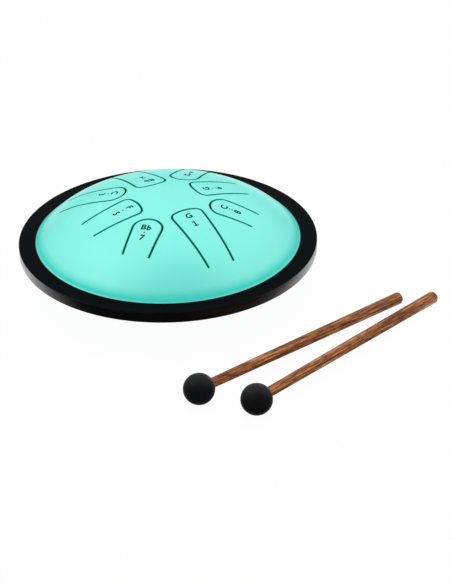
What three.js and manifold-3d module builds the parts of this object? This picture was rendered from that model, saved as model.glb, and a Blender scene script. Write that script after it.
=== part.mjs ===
// A small steel tongue drum and its two mallets, in millimetres with +Z up.
// Two pressed steel shells lie flange on flange inside a rubber ring. Eight tongues are cut
// into the upper shell. The lower shell has a sound port and stands on four rubber feet.

import * as THREE from 'three';
import { mergeVertices } from 'three/addons/utils/BufferGeometryUtils.js';
import Module from 'manifold-3d';

// Clearance between pieces that touch or are glued
const SEAM_GAP = 0.3;

// Rubber ring, a U-shaped channel pushed over both flanges
const RING_DIAMETER = 180;
const RING_TOP_WIDTH = 10.1;
const RING_HEIGHT = 6.4;
const RING_WALL = 2.6;
const RING_CHAMFER = 0.5;

// Steel shells: a crown arc, a tighter shoulder arc and a skirt that leans at the edge angle
const SHEET = 1.2;
const TOP = { edgeAngle: 46.3, shoulderRadius: 75, crownRadius: 150 };
const BASE = { edgeAngle: 40, shoulderRadius: 40, crownRadius: 200 };
const PORT_DIAMETER = 36;

// Tongues, numbered from the lowest note to the highest. Wide ones with a square tip and narrow ones
// with a round tip take turns. A tip is an arc of bowRadius between two corner arcs, and tipWidth is
// how far apart the sides would be level with it. heading is the way that a tongue points,
// counter-clockwise from +X, tipRadius its tip's distance from the drum's axis, rootInset its root's
// distance from the ring.
const SLIT_WIDTH = 1.25;
const WIDE = { tipWidth: 20.4, rootWidth: 16.2, cornerRadius: 4.2, bowRadius: 25 };
const NARROW = { tipWidth: 18.3, rootWidth: 15.7, cornerRadius: 6.4, bowRadius: 9.6 };
const TONGUE_1 = { ...WIDE, heading: -60.3, tipRadius: 20.7, rootInset: 14.9 };
const TONGUE_2 = { ...WIDE, heading: 120.2, tipRadius: 16.7, rootInset: 21.5 };
const TONGUE_3 = { ...NARROW, heading: 165.3, tipRadius: 26.3, rootInset: 13.8 };
const TONGUE_4 = { ...NARROW, heading: 72.3, tipRadius: 24.5, rootInset: 18.5 };
const TONGUE_5 = { ...WIDE, heading: 209.6, tipRadius: 19.4, rootInset: 27.1 };
const TONGUE_6 = { ...WIDE, heading: 28.1, tipRadius: 17.9, rootInset: 29 };
const TONGUE_7 = { ...NARROW, heading: 253, tipRadius: 28, rootInset: 23.1 };
const TONGUE_8 = { ...NARROW, heading: -15.7, tipRadius: 27, rootInset: 25.5 };
const TONGUES = [TONGUE_1, TONGUE_2, TONGUE_3, TONGUE_4, TONGUE_5, TONGUE_6, TONGUE_7, TONGUE_8];

// Rubber feet
const FOOT_COUNT = 4;
const FOOT_CIRCLE_RADIUS = 38;
const FOOT_TOP_DIAMETER = 16;
const FOOT_BOTTOM_DIAMETER = 13;
const FLOOR_CLEARANCE = 4.2;

// Mallets, each a rubber ball on a wooden handle that thickens towards its butt
const HEAD_DIAMETER = 17.4;
const BORE_DEPTH = 10;
const NECK_DIAMETER = 5.6;
const BUTT_DIAMETER = 7.2;
const BUTT_ROUNDING = 1.5;
const MALLET_REACH = 155;
// standoff is the mallet axis's distance from the ring, setback the head's distance back from
// the point of that axis that is nearest to the drum
const MALLET_1 = { heading: 40.4, standoff: 24.7, setback: 71.6 };
const MALLET_2 = { heading: 45.8, standoff: 46.3, setback: 67.9 };

// Fineness of round faces
const DRUM_SIDES = 60;
const SMALL_SIDES = 20;
const ARC_STEPS = 3;
const NOSE_STEPS = 3;
const MERGE_DISTANCE = 1e-4;

const lacquer = new THREE.MeshStandardMaterial({ color: 0x7eeeda, roughness: 0.35, metalness: 0.1 });
const rubber = new THREE.MeshStandardMaterial({ color: 0x14171a, roughness: 0.6, metalness: 0 });
const wood = new THREE.MeshStandardMaterial({ color: 0x8a5535, roughness: 0.55, metalness: 0 });

const radians = THREE.MathUtils.degToRad;
const ringRadius = RING_DIAMETER / 2;
const ringInnerRadius = ringRadius - RING_TOP_WIDTH;
const slotHeight = 2 * SHEET + 3 * SEAM_GAP;
const slotRadius = ringRadius - RING_WALL;
const lip = (RING_HEIGHT - slotHeight) / 2;
const flangeRadius = slotRadius - SEAM_GAP;
const flangeDepth = lip + SEAM_GAP;

const wasm = await Module();
wasm.setup();

// A closed geometry as a solid that can be cut
function solid(geometry) {
  const bare = geometry.clone();
  bare.deleteAttribute('normal');
  bare.deleteAttribute('uv');
  const merged = mergeVertices(bare, MERGE_DISTANCE);
  const index = merged.index.array;
  const triangles = [];
  for (let i = 0; i < index.length; i += 3) {
    const [a, b, c] = index.slice(i, i + 3);
    if (a !== b && b !== c && c !== a) {
      triangles.push(a, b, c);
    }
  }
  const vertProperties = merged.getAttribute('position').array;
  const triVerts = new Uint32Array(triangles);
  return new wasm.Manifold(new wasm.Mesh({ numProp: 3, vertProperties, triVerts }));
}

// A cut solid as a geometry again
function geometryOf(cutSolid) {
  const { vertProperties, triVerts } = cutSolid.getMesh();
  const geometry = new THREE.BufferGeometry();
  geometry.setAttribute('position', new THREE.BufferAttribute(vertProperties, 3));
  geometry.setIndex(new THREE.BufferAttribute(triVerts, 1));
  geometry.computeVertexNormals();
  return geometry;
}

function mesh(name, geometry, material) {
  const piece = new THREE.Mesh(geometry, material);
  piece.name = name;
  return piece;
}

// A section of radius and height turned round the Z axis. Sections are drawn clockwise, from the
// top of the axis outwards, and a lathe's faces point out when they are followed the other way.
function turned(section, sides) {
  const points = section.getPoints(ARC_STEPS).reverse();
  return new THREE.LatheGeometry(points, sides).rotateX(Math.PI / 2);
}

// The arcs of a pressed shell, measured outwards from the ring's face, with its skirt one
// seam gap inside the ring's edge
function pressing({ edgeAngle, shoulderRadius, crownRadius }) {
  const edge = radians(edgeAngle);
  const skirtRadius = ringInnerRadius - SEAM_GAP / Math.sin(edge);
  const shift = crownRadius - shoulderRadius;
  const crown = Math.asin((skirtRadius - shoulderRadius * Math.sin(edge)) / shift);
  const shoulderRise = shoulderRadius * (Math.cos(crown) - Math.cos(edge));
  const rise = shoulderRise + crownRadius * (1 - Math.cos(crown));
  return {
    edge,
    crown,
    rise,
    skirtRadius,
    crownRadius,
    shoulderRadius,
    crownHeight: rise - crownRadius,
    shoulderX: shift * Math.sin(crown),
    shoulderHeight: rise - crownRadius + shift * Math.cos(crown),
  };
}

// Follows a shell's face, moved outwards by offset, from the angle start off its axis to the skirt
function faceOut(path, shell, offset, start) {
  const top = Math.PI / 2;
  const { crown, edge } = shell;
  path.absarc(0, shell.crownHeight, shell.crownRadius + offset, top - start, top - crown, true);
  const shoulder = shell.shoulderRadius + offset;
  path.absarc(shell.shoulderX, shell.shoulderHeight, shoulder, top - crown, top - edge, true);
}

// The same face followed back from the skirt to the angle start off the axis
function faceBack(path, shell, offset, start) {
  const top = Math.PI / 2;
  const { crown, edge } = shell;
  const shoulder = shell.shoulderRadius + offset;
  path.absarc(shell.shoulderX, shell.shoulderHeight, shoulder, top - edge, top - crown, false);
  path.absarc(0, shell.crownHeight, shell.crownRadius + offset, top - crown, top - start, false);
}

// A pressed shell with its flange, and with a round port where portRadius is above zero
function shellSolid(shell, portRadius) {
  const start = Math.asin(portRadius / shell.crownRadius);
  const knee = shell.skirtRadius + flangeDepth / Math.tan(shell.edge);
  const innerKnee = knee - SHEET * Math.tan(shell.edge / 2);
  const section = new THREE.Path();
  faceOut(section, shell, 0, start);
  section.lineTo(knee, -flangeDepth);
  section.lineTo(flangeRadius, -flangeDepth);
  section.lineTo(flangeRadius, -flangeDepth - SHEET);
  section.lineTo(innerKnee, -flangeDepth - SHEET);
  faceBack(section, shell, -SHEET, start);
  if (portRadius > 0) {
    section.closePath();
  }
  return solid(turned(section, DRUM_SIDES));
}

// A tongue's nose in plan. The centre of its corner arc lies one corner radius inside the side and
// inside the tip's arc, and meet is the angle at which the two arcs run into each other.
function noseOf(tongue) {
  const root = ringInnerRadius - tongue.rootInset;
  const slope = (tongue.tipWidth - tongue.rootWidth) / 2 / (root - tongue.tipRadius);
  const lean = Math.atan(slope);
  const bowX = tongue.tipRadius + tongue.bowRadius;
  const reach = tongue.bowRadius - tongue.cornerRadius;
  const axisY = tongue.rootWidth / 2 + slope * root - tongue.cornerRadius / Math.cos(lean);
  const a = 1 + slope ** 2;
  const b = bowX + slope * axisY;
  const c = bowX ** 2 + axisY ** 2 - reach ** 2;
  const x = (b - Math.sqrt(b ** 2 - a * c)) / a;
  const y = axisY - slope * x;
  return { root, lean, bowX, x, y, meet: Math.atan2(y, x - bowX) };
}

// A tongue's outline in plan, grown sideways and at its tip by spread and at its root by rootSpread
function tongueOutline(tongue, spread, rootSpread) {
  const { root, lean, bowX, x, y, meet } = noseOf(tongue);
  const rootHalf = tongue.rootWidth / 2 + spread;
  const corner = tongue.cornerRadius + spread;
  const side = Math.PI / 2 - lean;
  const outline = new THREE.Shape();
  outline.moveTo(root + rootSpread, -rootHalf);
  outline.lineTo(root + rootSpread, rootHalf);
  outline.absarc(x, y, corner, side, meet, false);
  outline.absarc(bowX, 0, tongue.bowRadius + spread, meet, 2 * Math.PI - meet, false);
  outline.absarc(x, -y, corner, -meet, -side, false);
  outline.closePath();
  return outline;
}

// The upright prism over a tongue's outline, turned to its place round the drum
function tonguePrism(outline, height, angle) {
  const options = { depth: height, bevelEnabled: false, curveSegments: NOSE_STEPS };
  return solid(new THREE.ExtrudeGeometry(outline, options).rotateZ(angle));
}

// The upper shell with its slits, and the tongues between them
function topPieces(shell) {
  const dome = shellSolid(shell, 0);
  const height = shell.rise + SHEET;
  let slitDome = dome;
  const tongues = TONGUES.map((tongue, place) => {
    const angle = radians(tongue.heading);
    const opening = tongueOutline(tongue, SLIT_WIDTH / 2, SEAM_GAP / 2);
    const blade = tongueOutline(tongue, -SLIT_WIDTH / 2, -SEAM_GAP / 2);
    slitDome = slitDome.subtract(tonguePrism(opening, height, angle));
    const cut = dome.intersect(tonguePrism(blade, height, angle));
    return mesh(`tongue_${place + 1}`, geometryOf(cut), lacquer);
  });
  return [mesh('top_shell', geometryOf(slitDome), lacquer), ...tongues];
}

// The lower shell hangs upside down from the ring's lower face
function bottomPiece(shell) {
  const geometry = geometryOf(shellSolid(shell, PORT_DIAMETER / 2));
  const bottom = mesh('bottom_shell', geometry, lacquer);
  bottom.rotation.x = Math.PI;
  bottom.position.z = -RING_HEIGHT;
  return bottom;
}

// The ring's lips lean like the skirts that they rest on
function ringPiece(top, base) {
  const upperLip = ringInnerRadius + lip / Math.tan(top.edge);
  const lowerLip = ringInnerRadius + lip / Math.tan(base.edge);
  const section = new THREE.Path();
  section.moveTo(ringInnerRadius, 0);
  section.lineTo(ringRadius - RING_CHAMFER, 0);
  section.lineTo(ringRadius, -RING_CHAMFER);
  section.lineTo(ringRadius, RING_CHAMFER - RING_HEIGHT);
  section.lineTo(ringRadius - RING_CHAMFER, -RING_HEIGHT);
  section.lineTo(ringInnerRadius, -RING_HEIGHT);
  section.lineTo(lowerLip, lip - RING_HEIGHT);
  section.lineTo(slotRadius, lip - RING_HEIGHT);
  section.lineTo(slotRadius, -lip);
  section.lineTo(upperLip, -lip);
  section.closePath();
  return mesh('rim_ring', turned(section, DRUM_SIDES), rubber);
}

// Feet stand between the floor and the dish, and their tops are cut to its curve
function footPieces(base) {
  const outerRadius = FOOT_CIRCLE_RADIUS + FOOT_TOP_DIAMETER / 2;
  const dip = base.crownRadius - Math.sqrt(base.crownRadius ** 2 - outerRadius ** 2);
  const dish = new THREE.Path();
  faceOut(dish, base, SEAM_GAP, 0);
  dish.lineTo(0, 0);
  const dishSolid = solid(turned(dish, DRUM_SIDES).rotateX(Math.PI).translate(0, 0, -RING_HEIGHT));
  const floor = -RING_HEIGHT - base.rise - FLOOR_CLEARANCE;
  const section = new THREE.Path();
  section.moveTo(0, FLOOR_CLEARANCE + dip);
  section.lineTo(FOOT_TOP_DIAMETER / 2, FLOOR_CLEARANCE + dip);
  section.lineTo(FOOT_BOTTOM_DIAMETER / 2, 0);
  section.lineTo(0, 0);
  const feet = [];
  for (let place = 0; place < FOOT_COUNT; place += 1) {
    const angle = ((place + 0.5) * 2 * Math.PI) / FOOT_COUNT;
    const blank = turned(section, SMALL_SIDES).translate(FOOT_CIRCLE_RADIUS, 0, floor).rotateZ(angle);
    const foot = geometryOf(solid(blank).subtract(dishSolid));
    feet.push(mesh(`foot_${place + 1}`, foot, rubber));
  }
  return feet;
}

// A mallet along +Z from its head's centre, laid on the floor so that head and butt both rest
function malletPieces(name, { heading, standoff, setback }) {
  const headRadius = HEAD_DIAMETER / 2;
  const neckRadius = NECK_DIAMETER / 2;
  const buttRadius = BUTT_DIAMETER / 2;
  const boreRadius = neckRadius + SEAM_GAP;
  const boreFloor = headRadius - BORE_DEPTH;

  const head = new THREE.Path();
  const mouth = Math.acos(boreRadius / headRadius);
  head.moveTo(0, boreFloor);
  head.lineTo(boreRadius, boreFloor);
  head.absarc(0, 0, headRadius, mouth, -Math.PI / 2, true);

  const handle = new THREE.Path();
  const roundingX = buttRadius - BUTT_ROUNDING;
  const roundingZ = MALLET_REACH - BUTT_ROUNDING;
  handle.moveTo(0, MALLET_REACH);
  handle.lineTo(roundingX, MALLET_REACH);
  handle.absarc(roundingX, roundingZ, BUTT_ROUNDING, Math.PI / 2, 0, true);
  handle.lineTo(neckRadius, headRadius);
  handle.lineTo(neckRadius, boreFloor + SEAM_GAP);
  handle.lineTo(0, boreFloor + SEAM_GAP);

  const mallet = new THREE.Group();
  mallet.add(mesh(`${name}_head`, turned(head, SMALL_SIDES), rubber));
  mallet.add(mesh(`${name}_handle`, turned(handle, SMALL_SIDES), wood));
  const yaw = radians(heading);
  const tilt = Math.asin((headRadius - buttRadius) / MALLET_REACH);
  const away = ringRadius + standoff;
  const x = away * Math.sin(yaw) - setback * Math.cos(yaw);
  const y = -away * Math.cos(yaw) - setback * Math.sin(yaw);
  mallet.position.set(x, y, headRadius);
  mallet.rotation.set(0, Math.PI / 2 + tilt, yaw, 'ZYX');
  return mallet;
}

const top = pressing(TOP);
const base = pressing(BASE);

const drum = new THREE.Group();
drum.add(...topPieces(top), bottomPiece(base), ringPiece(top, base), ...footPieces(base));
drum.position.z = RING_HEIGHT + base.rise + FLOOR_CLEARANCE;

// The drum and its mallets stand on the floor, centred as a set
const set = new THREE.Group();
set.add(drum, malletPieces('mallet_1', MALLET_1), malletPieces('mallet_2', MALLET_2));
const box = new THREE.Box3().setFromObject(set, true);
const middle = box.getCenter(new THREE.Vector3());
set.position.set(-middle.x, -middle.y, -box.min.z);

export default set;
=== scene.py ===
# %% [markdown]
# # A steel tongue drum and its mallets
# The drum is two pressed steel shells that lie flange on flange inside a rubber ring. Eight
# tongues are cut into the upper shell, and each one rings at its own note. The solids of the part
# are loaded first, as a frame that stays as it is. Every piece below then takes its place and its
# size from that frame, and adds the fine shape and the finish of the real thing.

# %% Load the frame
import math

import bmesh
import bpy
from mathutils import Matrix, Vector


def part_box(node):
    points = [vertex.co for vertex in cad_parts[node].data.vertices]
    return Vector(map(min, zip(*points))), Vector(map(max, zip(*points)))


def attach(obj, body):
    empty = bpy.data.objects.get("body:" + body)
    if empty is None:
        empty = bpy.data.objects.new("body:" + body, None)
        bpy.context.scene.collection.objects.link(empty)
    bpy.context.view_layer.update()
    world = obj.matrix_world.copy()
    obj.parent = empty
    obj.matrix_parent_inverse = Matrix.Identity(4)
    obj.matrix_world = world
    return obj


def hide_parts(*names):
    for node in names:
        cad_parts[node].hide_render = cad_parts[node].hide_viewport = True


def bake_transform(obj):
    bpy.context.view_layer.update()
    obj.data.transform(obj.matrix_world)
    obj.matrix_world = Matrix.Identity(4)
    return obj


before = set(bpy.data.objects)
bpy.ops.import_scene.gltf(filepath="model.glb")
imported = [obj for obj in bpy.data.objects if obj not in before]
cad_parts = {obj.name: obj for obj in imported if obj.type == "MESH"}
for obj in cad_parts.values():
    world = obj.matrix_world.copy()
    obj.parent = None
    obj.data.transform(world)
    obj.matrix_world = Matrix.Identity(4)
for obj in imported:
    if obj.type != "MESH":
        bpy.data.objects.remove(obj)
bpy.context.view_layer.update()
MM = 0.001

# %% [markdown]
# The rubber ring is the one piece that is round, level and seen from every side, so the drum is
# measured from it: its middle is the drum's axis, and its upper face is the level from which
# heights on the dome are counted. Reading these from the frame keeps the two models together.

# %% Measure the drum from its ring
ring_low, ring_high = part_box("rim_ring")
RING_RADIUS = (ring_high.x - ring_low.x) / 2
RING_HEIGHT = ring_high.z - ring_low.z
DRUM_MIDDLE = Vector(((ring_low.x + ring_high.x) / 2, (ring_low.y + ring_high.y) / 2, ring_high.z))
print("ring radius", round(RING_RADIUS / MM, 2), "mm, upper face at", round(ring_high.z / MM, 2), "mm")

# %% [markdown]
# The camera stands where the photograph was taken from. Its place was worked out from the ring,
# which is a circle of known size, and from the slits on the dome, so it is counted from the drum's
# middle. A 90 mm lens gives the same gentle perspective. The camera looks down by its dip and leans
# over by a small roll.

# %% Place the camera
CAMERA_PLACE = DRUM_MIDDLE + Vector((34.655, -775.018, 426.604)) * MM
CAMERA_DIP = math.radians(31.1)
CAMERA_ROLL = math.radians(-0.486)

lens = bpy.data.cameras.new("photo_camera")
lens.lens = 90
lens.sensor_width = 36
lens.clip_start = 0.05
photo_camera = bpy.data.objects.new("photo_camera", lens)
turn = Matrix.Rotation(math.pi / 2 - CAMERA_DIP, 4, "X") @ Matrix.Rotation(CAMERA_ROLL, 4, "Z")
photo_camera.matrix_world = Matrix.Translation(CAMERA_PLACE) @ turn
bpy.context.collection.objects.link(photo_camera)
bpy.context.scene.camera = photo_camera
print("camera at", [round(c, 3) for c in CAMERA_PLACE])

# %% [markdown]
# Node materials are easier to read when each node is made on one line. This helper adds a node,
# sets its options, sets or links its inputs, and hands it back. Colours are written as they are seen
# on a screen, and a second helper turns them into the linear values that shaders work with.

# %% Small helpers for node materials
def add_node(tree, kind, inputs=None, **options):
    """Add a node with its options set, and each input set to a value or linked to a socket."""
    node = tree.nodes.new(kind)
    for name, value in options.items():
        setattr(node, name, value)
    for name, value in (inputs or {}).items():
        if isinstance(value, bpy.types.NodeSocket):
            tree.links.new(value, node.inputs[name])
        else:
            node.inputs[name].default_value = value
    return node


def seen(red, green, blue):
    """A colour as seen on a screen, 0 to 255, as linear values for a shader."""
    linear = []
    for level in (red, green, blue):
        share = level / 255
        linear.append(share / 12.92 if share < 0.04045 else ((share + 0.055) / 1.055) ** 2.4)
    return (*linear, 1)


bpy.context.scene.view_settings.view_transform = "Standard"
print("pure white is", seen(255, 255, 255)[:3])

# %% [markdown]
# The object lies in a white studio that is lit from all round, so the dome carries an even milky
# sheen. One wide soft lamp hangs above the drum, a little behind it, and draws a faint shadow.
# An area lamp is used because its size alone decides how soft the shadow is. It is hidden from
# reflections, which get a studio of their own in the next cell.

# %% Hang the lamp
LAMP_PLACE = Vector((-0.15, 0.35, 1.1))
LAMP_AIM = Vector((-0.02, 0.0, 0.03))
light = bpy.data.lights.new("overhead_lamp", "AREA")
light.shape = "SQUARE"
light.size = 1.2
light.energy = 4
lamp = bpy.data.objects.new("overhead_lamp", light)
gaze = (LAMP_AIM - LAMP_PLACE).to_track_quat("-Z", "Y")
lamp.matrix_world = Matrix.Translation(LAMP_PLACE) @ gaze.to_matrix().to_4x4()
lamp.visible_glossy = False
bpy.context.collection.objects.link(lamp)
print("lamp of", light.energy, "W at", [round(c, 2) for c in LAMP_PLACE])

# %% [markdown]
# What a satin lacquer mirrors decides how it looks. Panels could be hung round the drum, but a
# world shader needs no objects: it only asks in which direction a ray leaves. A white wall stands
# behind the drum and one soft round screen on either side. All of it fades towards the horizon, and
# the air above the photographer stays dark. That dark gap is why the foot of the dome that faces
# the camera is deepest in colour.

# %% Shape the studio for reflections
# A screen is full where a direction lines up with it by this share
SCREEN_FULL = 0.97
# Parts of a direction, along y and up, between which the wall and the horizon fade
WALL_FADE = (-0.15, 0.3)
HORIZON_FADE = (0.05, 0.35)


def add_range(tree, source, low, high, low_out, high_out, kind="LINEAR"):
    """Stretch a value between two levels to a new range."""
    levels = {"Value": source, "From Min": low, "From Max": high, "To Min": low_out, "To Max": high_out}
    return add_node(tree, "ShaderNodeMapRange", levels, interpolation_type=kind).outputs["Result"]


def join_values(tree, operation, first, second):
    """One value from two, by a plain calculation."""
    return add_node(tree, "ShaderNodeMath", {0: first, 1: second}, operation=operation).outputs[0]


def add_screen(tree, direction, towards, edge, brightness):
    """A soft round screen in one direction, full in its middle and gone at its edge."""
    both = {0: direction, 1: Vector(towards).normalized()}
    facing = add_node(tree, "ShaderNodeVectorMath", both, operation="DOT_PRODUCT")
    return add_range(tree, facing.outputs["Value"], edge, SCREEN_FULL, 0.0, brightness)


air = bpy.data.worlds.new("studio_air")
air.use_nodes = True
air_tree = air.node_tree
air_tree.nodes.clear()
direction = add_node(air_tree, "ShaderNodeTexCoord").outputs["Generated"]
split = add_node(air_tree, "ShaderNodeSeparateXYZ", {0: direction})
rear_wall = add_range(air_tree, split.outputs["Y"], *WALL_FADE, 0.0, 1.0)
horizon = add_range(air_tree, split.outputs["Z"], *HORIZON_FADE, 0.05, 1.05)
left_screen = add_screen(air_tree, direction, towards=(-0.6, 0.1, 0.79), edge=0.8, brightness=1.5)
right_screen = add_screen(air_tree, direction, towards=(0.62, 0.15, 0.77), edge=0.82, brightness=1.15)
screens = join_values(air_tree, "MAXIMUM", left_screen, right_screen)
lit_air = join_values(air_tree, "MAXIMUM", screens, rear_wall)
mirrored_air = join_values(air_tree, "MULTIPLY", lit_air, horizon)
print("studio for reflections has", len(air_tree.nodes), "nodes")

# %% [markdown]
# The air of the studio glows. What the camera sees of it is plain white, what falls on the object
# is a little less than that, and reflections see the studio of the last cell. The Light Path node
# tells these apart, because it knows what kind of ray is asking.

# %% Light the air
AIR_LIGHT = 0.83


def glow_strength(tree, plain, mirrored):
    """Strength of a glow: 1 for the camera, one value for plain light and one for reflections."""
    path = add_node(tree, "ShaderNodeLightPath").outputs
    lit = add_node(tree, "ShaderNodeMix", {"Factor": path["Is Glossy Ray"], "A": plain, "B": mirrored})
    shown = {"Factor": path["Is Camera Ray"], "A": lit.outputs["Result"], "B": 1.0}
    return add_node(tree, "ShaderNodeMix", shown).outputs["Result"]


air_strength = glow_strength(air_tree, AIR_LIGHT, mirrored_air)
air_glow = add_node(air_tree, "ShaderNodeBackground", {"Color": (1, 1, 1, 1), "Strength": air_strength})
add_node(air_tree, "ShaderNodeOutputWorld", {"Surface": air_glow.outputs[0]})
bpy.context.scene.world = air
print("air has", len(air_tree.nodes), "nodes")

# %% [markdown]
# The floor is white paint with a glow mixed in, so it stays white in the picture and the shadow on
# it is faint. In reflections it is brightest beside the drum, dimmer behind it and dark in front,
# as a table is between two lamps. That keeps the front of the black ring black, while the two ends
# of its wall shine. Under the middle of the drum it has no glow, so no light shows through the slits.

# %% Mix the floor's paint
FLOOR_GLOW = 0.96
# Places along the view between which the mirrored floor changes, and radii for its glow
FRONT_FADE = (-66 * MM, 22 * MM)
BACK_FADE = (35 * MM, 90 * MM)
GLOW_START = (28 * MM, 38 * MM)


def add_radius(tree, place):
    """Distance from the drum's axis."""
    to_axis = {"Vector": place, "Location": -DRUM_MIDDLE * Vector((1, 1, 0)), "Scale": (1, 1, 0)}
    offset = add_node(tree, "ShaderNodeMapping", to_axis).outputs["Vector"]
    return add_node(tree, "ShaderNodeVectorMath", {0: offset}, operation="LENGTH").outputs["Value"]


floor_paint = bpy.data.materials.new("white_floor_paint")
floor_paint.use_nodes = True
floor_tree = floor_paint.node_tree
floor_tree.nodes.clear()
floor_place = add_node(floor_tree, "ShaderNodeTexCoord").outputs["Object"]
depth = add_node(floor_tree, "ShaderNodeSeparateXYZ", {0: floor_place}).outputs["Y"]
from_front = add_range(floor_tree, depth, *FRONT_FADE, 0.01, 1.8, "SMOOTHSTEP")
to_back = add_range(floor_tree, depth, *BACK_FADE, 1.0, 0.58)
mirrored_floor = join_values(floor_tree, "MULTIPLY", from_front, to_back)
floor_strength = glow_strength(floor_tree, 0.0, mirrored_floor)
matt_white = add_node(floor_tree, "ShaderNodeBsdfDiffuse", {"Color": (0.86, 0.86, 0.86, 1)})
glow_white = add_node(floor_tree, "ShaderNodeEmission", {"Color": (1, 1, 1, 1), "Strength": floor_strength})
path = add_node(floor_tree, "ShaderNodeLightPath").outputs
shares = {"Factor": path["Is Camera Ray"], "A": path["Is Glossy Ray"], "B": FLOOR_GLOW}
glow_share = add_node(floor_tree, "ShaderNodeMix", shares).outputs["Result"]
beside_port = add_range(floor_tree, add_radius(floor_tree, floor_place), *GLOW_START, 0.0, 1.0)
glow_here = join_values(floor_tree, "MULTIPLY", glow_share, beside_port)
paints = {0: glow_here, 1: matt_white.outputs[0], 2: glow_white.outputs[0]}
floor_mix = add_node(floor_tree, "ShaderNodeMixShader", paints)
add_node(floor_tree, "ShaderNodeOutputMaterial", {"Surface": floor_mix.outputs[0]})
print("floor paint has", len(floor_tree.nodes), "nodes")

# %% [markdown]
# The floor itself is one large square. It lies a hair below the feet and the mallets, so that no
# two faces share one level, which would flicker. It belongs to the stage and not to the object.

# %% Lay the floor
FLOOR_REACH = 6
FLOOR_DROP = 0.1 * MM


def shift(shape, step):
    """Move a whole shape."""
    bmesh.ops.translate(shape, verts=shape.verts[:], vec=step)


floor_shape = bmesh.new()
bmesh.ops.create_grid(floor_shape, x_segments=1, y_segments=1, size=FLOOR_REACH)
shift(floor_shape, (0, 0, -FLOOR_DROP))
floor_mesh = bpy.data.meshes.new("studio_floor")
floor_shape.to_mesh(floor_mesh)
floor_shape.free()
floor_mesh.materials.append(floor_paint)
studio_floor = bpy.data.objects.new("studio_floor", floor_mesh)
bpy.context.collection.objects.link(studio_floor)
print("floor lies at", round(floor_mesh.vertices[0].co.z / MM, 2), "mm")

# %% [markdown]
# The walls of the slits are cut steel with a thin, dull mist of the dome's lacquer, with almost no
# gloss. They are painted a darker, deeper teal than the dome, as painted shade inside the narrow
# slits, so the slits read as fine dark lines. Three helpers make a finish: an empty one, a noise,
# and a ramp that colours the noise.
# All patterns use Object coordinates, so that nothing slides.

# %% Mix the painted shade of the cut edges
def new_finish(name):
    """An empty node material, with its tree, its shader and its Object coordinates."""
    finish = bpy.data.materials.new(name)
    finish.use_nodes = True
    tree = finish.node_tree
    place = add_node(tree, "ShaderNodeTexCoord")
    return finish, tree, tree.nodes["Principled BSDF"], place.outputs["Object"]


def add_noise(tree, place, scale, detail=2.0):
    """A noise pattern on the given coordinates, with scale in waves per metre."""
    waves = {"Vector": place, "Scale": scale, "Detail": detail}
    return add_node(tree, "ShaderNodeTexNoise", waves).outputs["Fac"]


def add_colours(tree, source, *stops):
    """Colour a pattern by stops of position and seen colour."""
    ramp = add_node(tree, "ShaderNodeValToRGB", {"Fac": source})
    elements = ramp.color_ramp.elements
    while len(elements) < len(stops):
        elements.new(0.5)
    for element, (position, colour) in zip(elements, stops):
        element.position = position
        element.color = seen(*colour)
    return ramp.outputs["Color"]


painted_slit_shade, tree, shader, place = new_finish("painted_slit_shade")
slit_shade_noise = add_noise(tree, place, 420, 3.0)
# Painted shade: a darker teal than the dome's lacquer, for the slit walls and the bands beside them
slit_shade_tone = add_colours(tree, slit_shade_noise, (0.3, (2, 164, 148)), (0.7, (8, 184, 167)))
tree.links.new(slit_shade_tone, shader.inputs["Base Color"])
tree.links.new(add_range(tree, slit_shade_noise, 0.3, 0.7, 0.7, 0.85), shader.inputs["Roughness"])
shader.inputs["Specular IOR Level"].default_value = 0.1
print("cut edge has", len(tree.nodes), "nodes")

# %% [markdown]
# Both shells are covered in a satin turquoise lacquer. Its colour drifts very slightly, as sprayed
# colour does. Over the open dome the colour is painted paler, as a painted milky sheen, and towards
# the foot of the dome this painted sheen fades to the deeper turquoise. The narrow groove beside the
# ring is painted dark, as painted shade. Such zones could be painted on by hand. Here the distance
# from the drum's axis decides, because the dome is round.

# %% Colour the turquoise lacquer
# Distances from the axis between which the colour changes
SHEEN_FADE_ZONE = (74.5 * MM, 78.3 * MM)
GROOVE_START = (79.6 * MM, 79.85 * MM)


def mix_colours(tree, factor, first, second):
    """Mix two colours by a factor."""
    # This node has sockets for every kind of value. Those for colours are inputs 6 and 7, output 2.
    both = {0: factor, 6: first, 7: second}
    return add_node(tree, "ShaderNodeMix", both, data_type="RGBA").outputs[2]


lacquer, tree, shader, place = new_finish("turquoise_lacquer")
from_axis = add_radius(tree, place)
drift = add_noise(tree, place, 22)
# The open face is painted paler, so its colour holds part of the milky sheen as painted sheen; towards the
# foot this painted sheen fades to the deeper turquoise
face_with_painted_sheen = add_colours(tree, drift, (0.3, (92, 238, 222)), (0.7, (98, 242, 226)))
foot_without_painted_sheen = add_colours(tree, drift, (0.3, (14, 220, 202)), (0.7, (22, 224, 207)))
# Painted shade in the narrow groove beside the ring
groove_painted_shade = add_colours(tree, drift, (0.3, (0, 52, 46)), (0.7, (2, 64, 57)))
painted_sheen_fade = add_range(tree, from_axis, *SHEEN_FADE_ZONE, 0.0, 0.9)
in_groove = add_range(tree, from_axis, *GROOVE_START, 0.0, 1.0)
foot_colour = mix_colours(tree, painted_sheen_fade, face_with_painted_sheen, foot_without_painted_sheen)
tree.links.new(mix_colours(tree, in_groove, foot_colour, groove_painted_shade), shader.inputs["Base Color"])
print("lacquer colour has", len(tree.nodes), "nodes")

# %% [markdown]
# The lacquer's sheen is uneven too: its gloss changes a little from place to place, and it has a
# faint orange peel. Noise textures at two scales give these. At the foot of the dome the sheen takes
# on the lacquer's own colour, and a line just before the ring is duller. A thin clear coat lays a
# soft shine over it all.

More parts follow.
